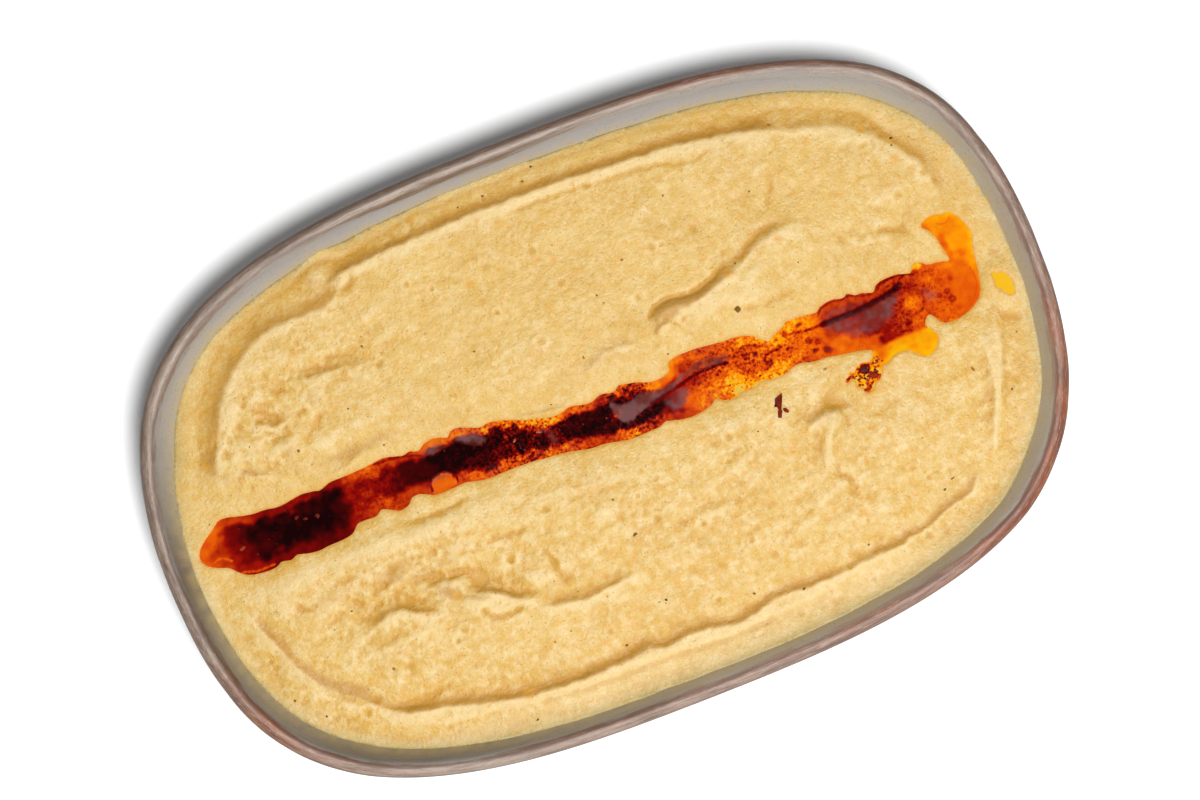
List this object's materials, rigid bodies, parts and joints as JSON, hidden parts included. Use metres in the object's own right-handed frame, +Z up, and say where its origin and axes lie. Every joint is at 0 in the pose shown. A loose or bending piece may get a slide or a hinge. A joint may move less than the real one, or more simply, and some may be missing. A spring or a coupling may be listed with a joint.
{
  "type": "dish of hummus",
  "caption": "Hummus spread in a shallow oval stoneware dish, with folds left by the spoon and dark chilli oil standing in a long channel.",
  "frame": {"origin": "middle of the dish's foot, on the surface that it stands on", "axes": "+X along the dish, towards the end where the oil hooks round; +Y across it, towards the side that the hook points to; +Z up"},
  "size_m": [0.233, 0.1484, 0.036],
  "materials": {
    "stoneware": "speckled reactive glaze, glossy",
    "hummus": "smooth moist paste",
    "chilli_oil": "clear dark red oil with chilli sediment",
    "oil_drop": "clear thin yellow oil"
  },
  "bodies": {
    "root": {"dish": "stoneware", "hummus": "hummus", "chilli_oil": "chilli_oil", "oil_drop": "oil_drop"}
  },
  "joints": []
}
